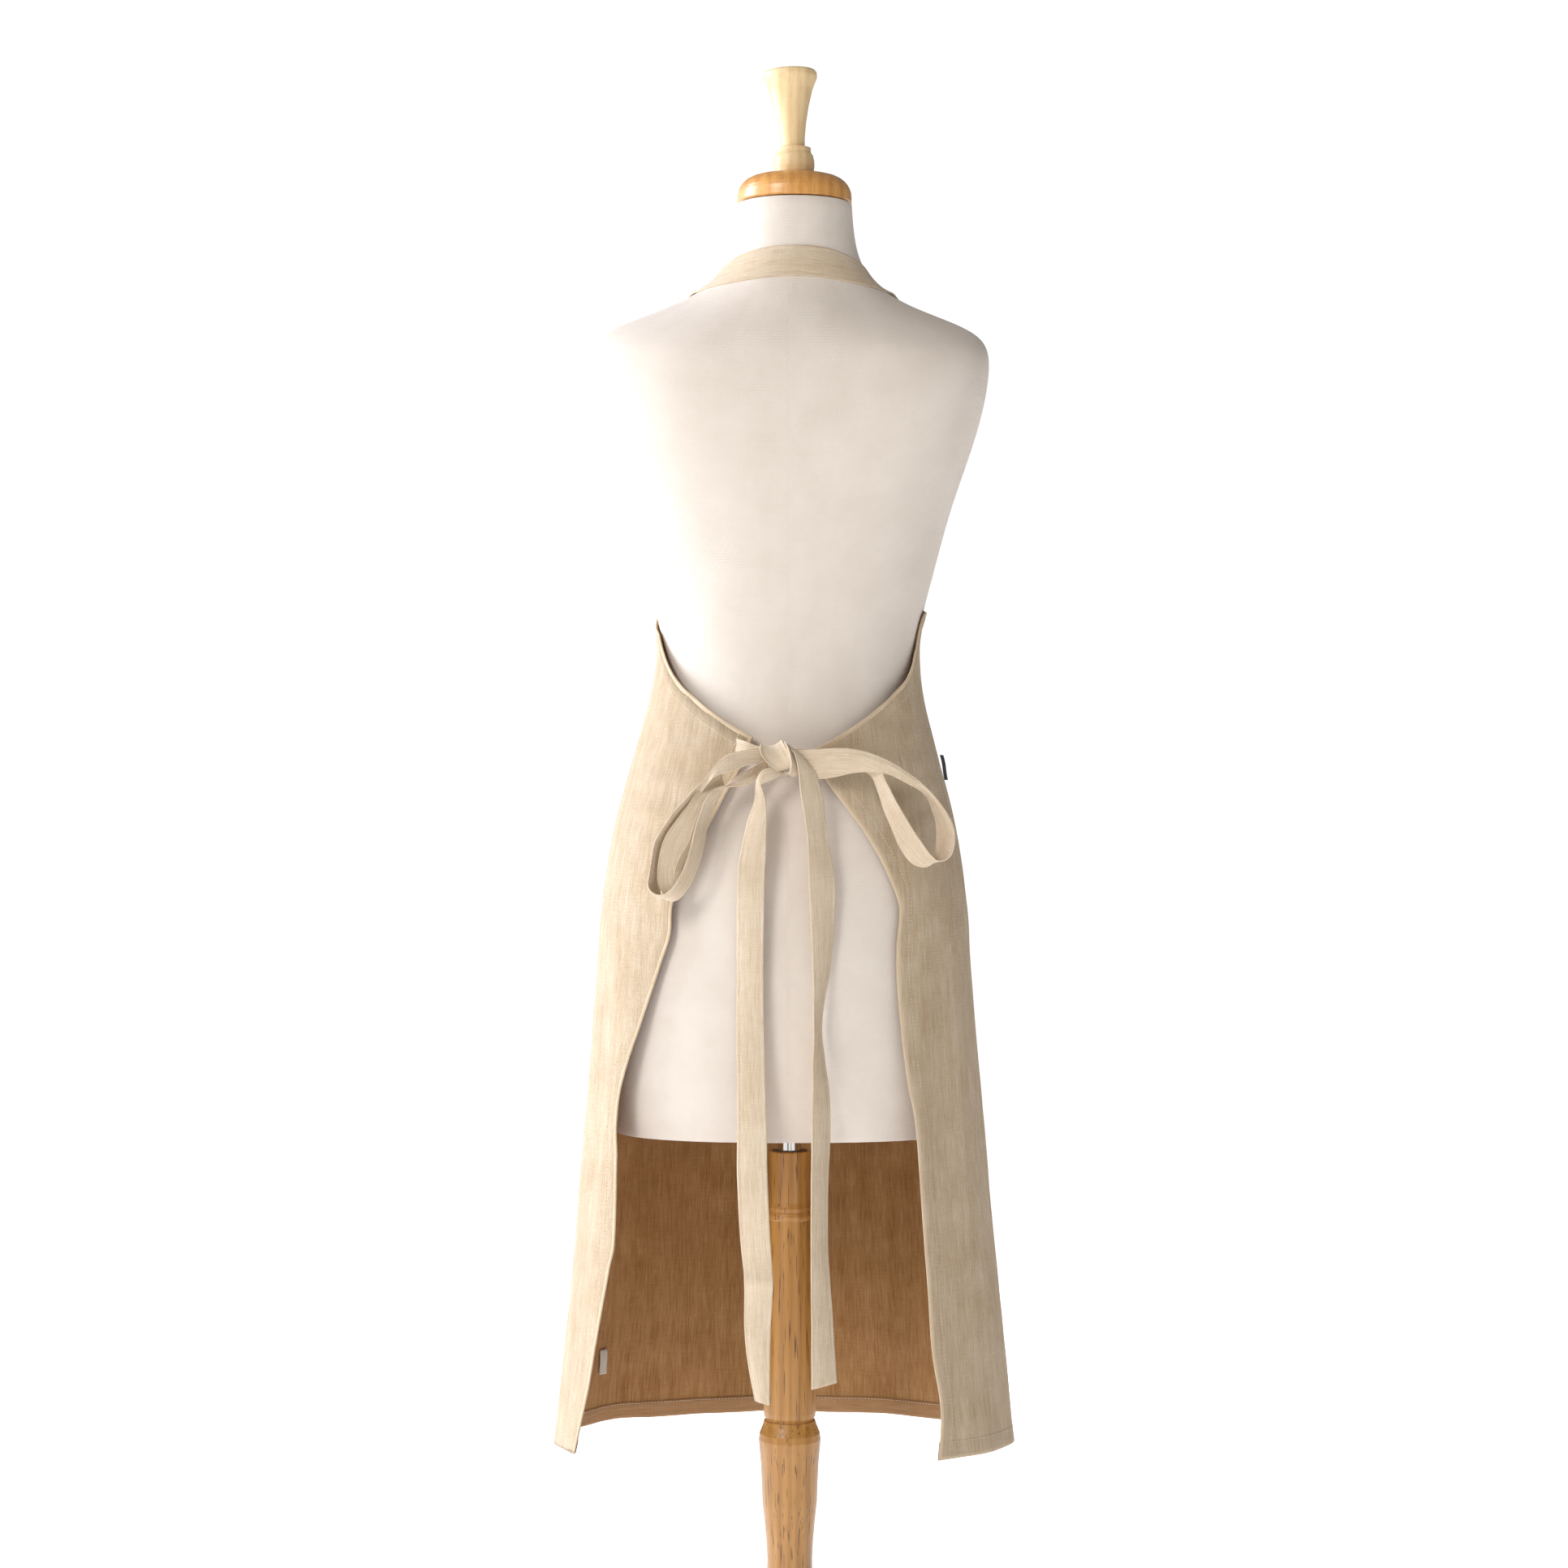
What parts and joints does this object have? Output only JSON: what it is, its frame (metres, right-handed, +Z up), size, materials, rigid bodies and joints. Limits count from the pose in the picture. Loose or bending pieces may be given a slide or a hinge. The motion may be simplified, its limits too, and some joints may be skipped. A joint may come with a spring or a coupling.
{
  "type": "apron on a dress form",
  "caption": "Linen bib apron worn by a jersey-covered dress form on a turned wooden tripod stand, tied behind in a bow.",
  "frame": {"origin": "on the floor under the column's axis", "axes": "+Z up; the bow and the apron's opening face -Y, the bib faces +Y"},
  "size_m": [0.5198, 0.4519, 1.6481],
  "materials": {
    "oak": "satin",
    "maple": "satin",
    "amber": "satin",
    "plain_wood": "matte",
    "chrome": "polished",
    "steel": "satin",
    "brass": "satin",
    "dark_plastic": "matte",
    "shell": "matte",
    "felt": "matte",
    "jersey": "matte",
    "linen": "matte",
    "label": "matte",
    "tab": "matte"
  },
  "bodies": {
    "stand": {"column_lower": "oak", "column_upper": "oak", "leg_1": "oak", "leg_2": "oak", "leg_3": "oak", "leg_dowels": "plain_wood", "foot_glides": "felt", "rod_bush": "dark_plastic", "lock_insert": "brass"},
    "lock": {"lock_knob": "dark_plastic"},
    "rod": {"height_rod": "chrome", "rod_end_plug": "dark_plastic", "rod_cap": "steel"},
    "form": {"torso_cover": "jersey", "torso_shell": "shell", "base_board": "plain_wood", "swivel_socket": "steel", "socket_screws": "steel", "neck_plug": "plain_wood", "neck_cap": "amber", "finial_stud": "steel", "apron_panel": "linen", "neck_strap": "linen", "tie_left": "linen", "tie_right": "linen", "bow_knot": "linen", "care_label": "label", "side_tab": "tab"},
    "knob": {"finial": "maple"}
  },
  "joints": [
    {"name": "rod_slide", "type": "slide", "parent": "stand", "child": "rod", "axis": [0, 0, 1], "range_m": [-0.012, 0.28]},
    {"name": "form_swivel", "type": "hinge", "parent": "rod", "child": "form", "pos_m": [0, 0, 0.7], "axis": [0, 0, 1], "continuous": true},
    {"name": "finial_turn", "type": "hinge", "parent": "form", "child": "knob", "pos_m": [0.0045, 0.005, 1.545], "axis": [-0.0471, 0, 0.9989], "continuous": true},
    {"name": "lock_knob_turn", "type": "hinge", "parent": "stand", "child": "lock", "pos_m": [0, 0.03, 0.601], "axis": [0, 1, 0], "continuous": true}
  ]
}
